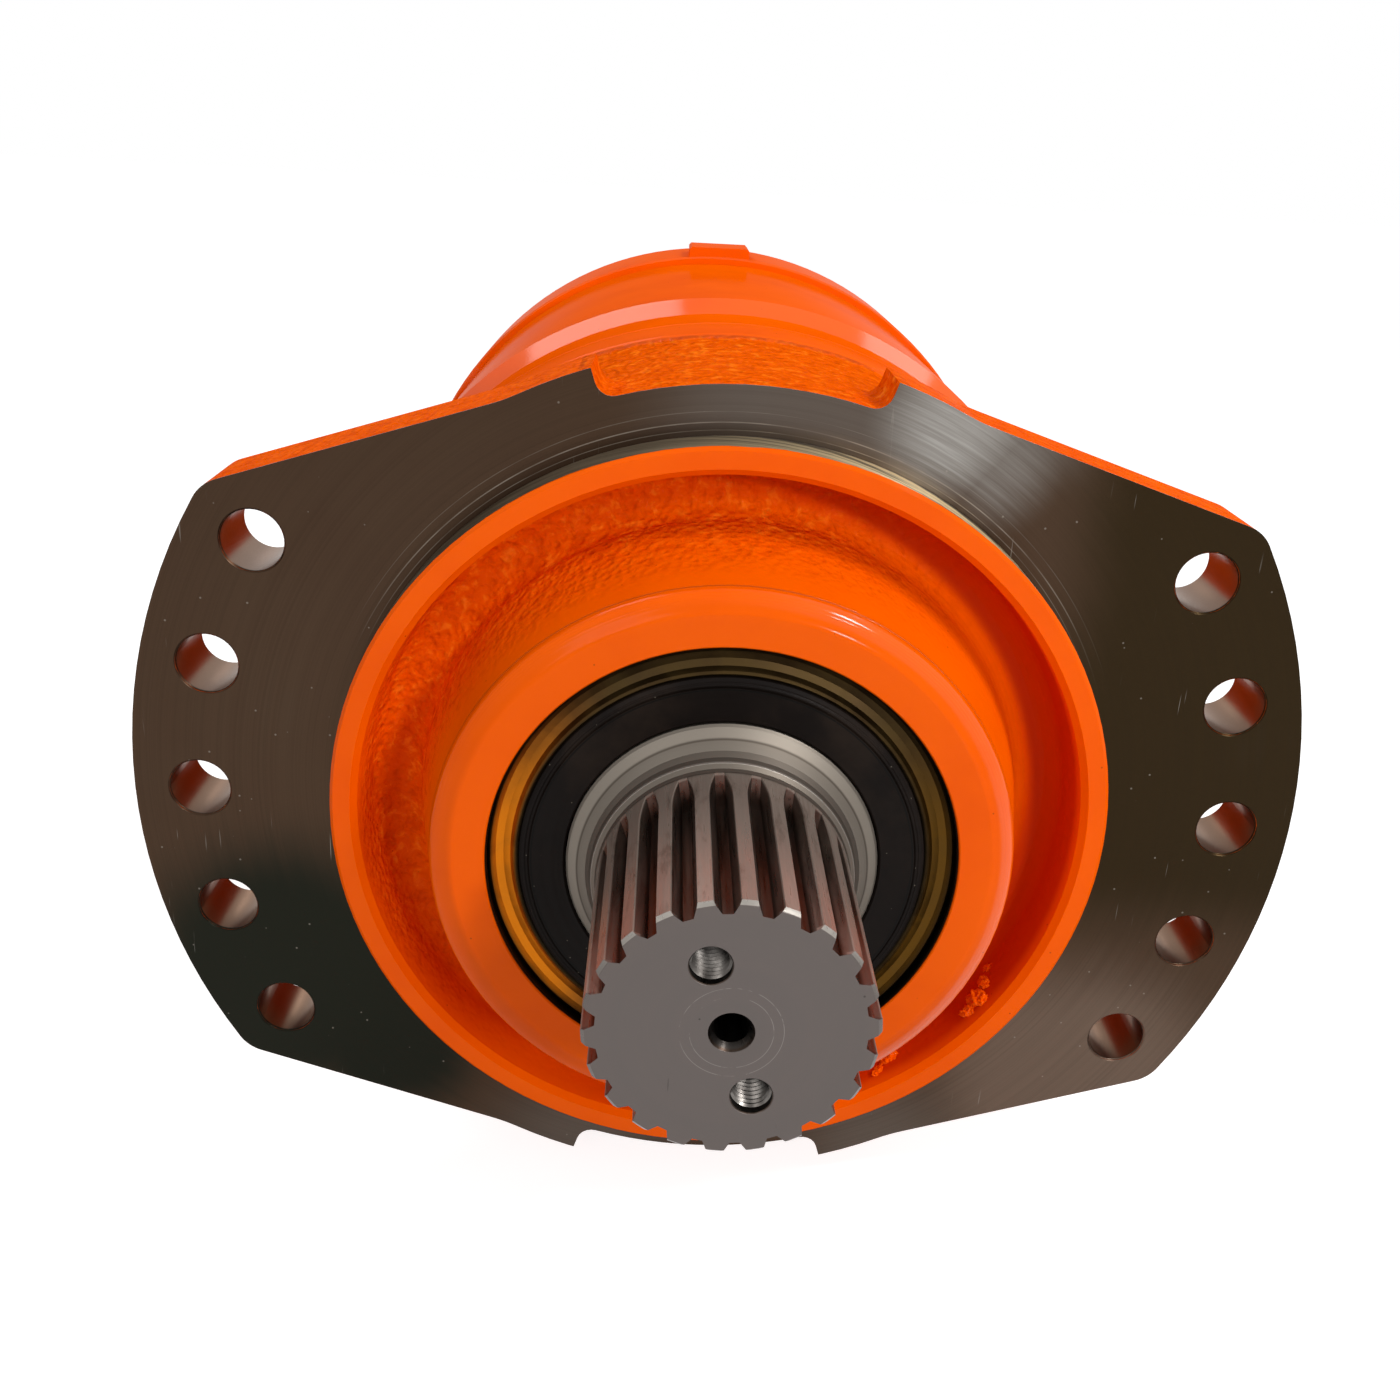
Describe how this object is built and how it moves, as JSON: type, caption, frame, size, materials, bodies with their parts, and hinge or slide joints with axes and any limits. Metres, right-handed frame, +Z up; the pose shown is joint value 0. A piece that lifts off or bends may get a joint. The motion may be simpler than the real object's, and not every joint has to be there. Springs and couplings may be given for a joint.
{
  "type": "hydraulic piston motor",
  "caption": "Flange mounted radial piston hydraulic motor with a splined output shaft, cam ring, taper roller bearings and rear multi-disc brake.",
  "frame": {"origin": "centre of the mounting flange's front face, on the shaft axis", "axes": "+Y along the shaft axis towards the rear cover, so the shaft points to -Y; X through the flange's two ears; +Z up"},
  "size_m": [0.354, 0.443, 0.2828],
  "materials": {
    "orange_paint": "glossy",
    "shaft_steel": "machined",
    "bearing_steel": "ground",
    "spring_steel": "satin",
    "cast_iron": "machined",
    "seal_rubber": "satin",
    "yellow_zinc": "yellow passivated",
    "black_steel": "black oxide",
    "copper": "copper",
    "friction_lining": "sintered"
  },
  "bodies": {
    "housing": {"bearing_support": "orange_paint", "cam_ring": "orange_paint", "rear_cover": "orange_paint", "brake_cover": "orange_paint", "front_bearing_cup": "bearing_steel", "rear_bearing_cup": "bearing_steel", "shaft_seal": "seal_rubber", "seal_case": "yellow_zinc", "garter_spring": "spring_steel", "distributor": "cast_iron", "distributor_seals": "seal_rubber", "distributor_springs": "spring_steel", "distributor_pins": "spring_steel", "casing_o_rings": "seal_rubber", "dowel_pins": "spring_steel", "motor_screws": "black_steel", "brake_plates": "spring_steel", "disc_spring": "spring_steel", "brake_screws": "black_steel", "drain_plugs": "black_steel", "plug_washers": "copper"},
    "shaft_rotor": {"splined_shaft": "shaft_steel", "front_bearing_cone": "bearing_steel", "rear_bearing_cone": "bearing_steel", "bearing_nut": "spring_steel", "tab_washer": "spring_steel", "cylinder_block": "cast_iron", "brake_shaft": "spring_steel", "friction_discs": "friction_lining"},
    "front_roller_set": {"front_bearing_rollers": "bearing_steel", "front_bearing_cage": "spring_steel"},
    "rear_roller_set": {"rear_bearing_rollers": "bearing_steel", "rear_bearing_cage": "spring_steel"},
    "brake_actuator": {"brake_piston": "spring_steel", "brake_piston_seals": "seal_rubber"},
    "piston_1_body": {"piston_1": "bearing_steel"},
    "roller_1_body": {"piston_roller_1": "bearing_steel"},
    "piston_2_body": {"piston_2": "bearing_steel"},
    "roller_2_body": {"piston_roller_2": "bearing_steel"},
    "piston_3_body": {"piston_3": "bearing_steel"},
    "roller_3_body": {"piston_roller_3": "bearing_steel"},
    "piston_4_body": {"piston_4": "bearing_steel"},
    "roller_4_body": {"piston_roller_4": "bearing_steel"},
    "piston_5_body": {"piston_5": "bearing_steel"},
    "roller_5_body": {"piston_roller_5": "bearing_steel"},
    "piston_6_body": {"piston_6": "bearing_steel"},
    "roller_6_body": {"piston_roller_6": "bearing_steel"},
    "piston_7_body": {"piston_7": "bearing_steel"},
    "roller_7_body": {"piston_roller_7": "bearing_steel"},
    "piston_8_body": {"piston_8": "bearing_steel"},
    "roller_8_body": {"piston_roller_8": "bearing_steel"},
    "piston_9_body": {"piston_9": "bearing_steel"},
    "roller_9_body": {"piston_roller_9": "bearing_steel"},
    "piston_10_body": {"piston_10": "bearing_steel"},
    "roller_10_body": {"piston_roller_10": "bearing_steel"}
  },
  "joints": [
    {"name": "shaft_spin", "type": "hinge", "parent": "housing", "child": "shaft_rotor", "pos_m": [0, 0, 0], "axis": [0, 1, 0], "continuous": true},
    {"name": "front_rollers_orbit", "type": "hinge", "parent": "housing", "child": "front_roller_set", "pos_m": [0, 0.0045, 0], "axis": [0, 1, 0], "continuous": true},
    {"name": "rear_rollers_orbit", "type": "hinge", "parent": "housing", "child": "rear_roller_set", "pos_m": [0, 0.0725, 0], "axis": [0, 1, 0], "continuous": true},
    {"name": "brake_release", "type": "slide", "parent": "housing", "child": "brake_actuator", "axis": [0, 1, 0], "range_m": [0, 0.0015], "stiffness_N_per_m": 20000, "springref_m": -0.004, "deforming": ["disc_spring"]},
    {"name": "piston_1_stroke", "type": "slide", "parent": "shaft_rotor", "child": "piston_1_body", "axis": [0, 0, 1], "range_m": [0, 0.0138]},
    {"name": "roller_1_spin", "type": "hinge", "parent": "piston_1_body", "child": "roller_1_body", "pos_m": [0, 0.152, 0.0834], "axis": [0, 1, 0], "continuous": true},
    {"name": "piston_2_stroke", "type": "slide", "parent": "shaft_rotor", "child": "piston_2_body", "axis": [-0.5878, 0, 0.809], "range_m": [0, 0.01048]},
    {"name": "roller_2_spin", "type": "hinge", "parent": "piston_2_body", "child": "roller_2_body", "pos_m": [-0.04902, 0.152, 0.06747], "axis": [0, 1, 0], "continuous": true},
    {"name": "piston_3_stroke", "type": "slide", "parent": "shaft_rotor", "child": "piston_3_body", "axis": [-0.9511, 0, 0.309], "range_m": [0, 0.00512]},
    {"name": "roller_3_spin", "type": "hinge", "parent": "piston_3_body", "child": "roller_3_body", "pos_m": [-0.07932, 0.152, 0.02577], "axis": [0, 1, 0], "continuous": true},
    {"name": "piston_4_stroke", "type": "slide", "parent": "shaft_rotor", "child": "piston_4_body", "axis": [-0.9511, 0, -0.309], "range_m": [0, 0.00512]},
    {"name": "roller_4_spin", "type": "hinge", "parent": "piston_4_body", "child": "roller_4_body", "pos_m": [-0.07932, 0.152, -0.02577], "axis": [0, 1, 0], "continuous": true},
    {"name": "piston_5_stroke", "type": "slide", "parent": "shaft_rotor", "child": "piston_5_body", "axis": [-0.5878, 0, -0.809], "range_m": [0, 0.01048]},
    {"name": "roller_5_spin", "type": "hinge", "parent": "piston_5_body", "child": "roller_5_body", "pos_m": [-0.04902, 0.152, -0.06747], "axis": [0, 1, 0], "continuous": true},
    {"name": "piston_6_stroke", "type": "slide", "parent": "shaft_rotor", "child": "piston_6_body", "axis": [0, 0, -1], "range_m": [0, 0.0138]},
    {"name": "roller_6_spin", "type": "hinge", "parent": "piston_6_body", "child": "roller_6_body", "pos_m": [0, 0.152, -0.0834], "axis": [0, 1, 0], "continuous": true},
    {"name": "piston_7_stroke", "type": "slide", "parent": "shaft_rotor", "child": "piston_7_body", "axis": [0.5878, 0, -0.809], "range_m": [0, 0.01048]},
    {"name": "roller_7_spin", "type": "hinge", "parent": "piston_7_body", "child": "roller_7_body", "pos_m": [0.04902, 0.152, -0.06747], "axis": [0, 1, 0], "continuous": true},
    {"name": "piston_8_stroke", "type": "slide", "parent": "shaft_rotor", "child": "piston_8_body", "axis": [0.9511, 0, -0.309], "range_m": [0, 0.00512]},
    {"name": "roller_8_spin", "type": "hinge", "parent": "piston_8_body", "child": "roller_8_body", "pos_m": [0.07932, 0.152, -0.02577], "axis": [0, 1, 0], "continuous": true},
    {"name": "piston_9_stroke", "type": "slide", "parent": "shaft_rotor", "child": "piston_9_body", "axis": [0.9511, 0, 0.309], "range_m": [0, 0.00512]},
    {"name": "roller_9_spin", "type": "hinge", "parent": "piston_9_body", "child": "roller_9_body", "pos_m": [0.07932, 0.152, 0.02577], "axis": [0, 1, 0], "continuous": true},
    {"name": "piston_10_stroke", "type": "slide", "parent": "shaft_rotor", "child": "piston_10_body", "axis": [0.5878, 0, 0.809], "range_m": [0, 0.01048]},
    {"name": "roller_10_spin", "type": "hinge", "parent": "piston_10_body", "child": "roller_10_body", "pos_m": [0.04902, 0.152, 0.06747], "axis": [0, 1, 0], "continuous": true}
  ],
  "couplings": [
    {"joint": "front_rollers_orbit", "follows": "shaft_spin", "ratio": 0.4531},
    {"joint": "rear_rollers_orbit", "follows": "shaft_spin", "ratio": 0.4508}
  ]
}
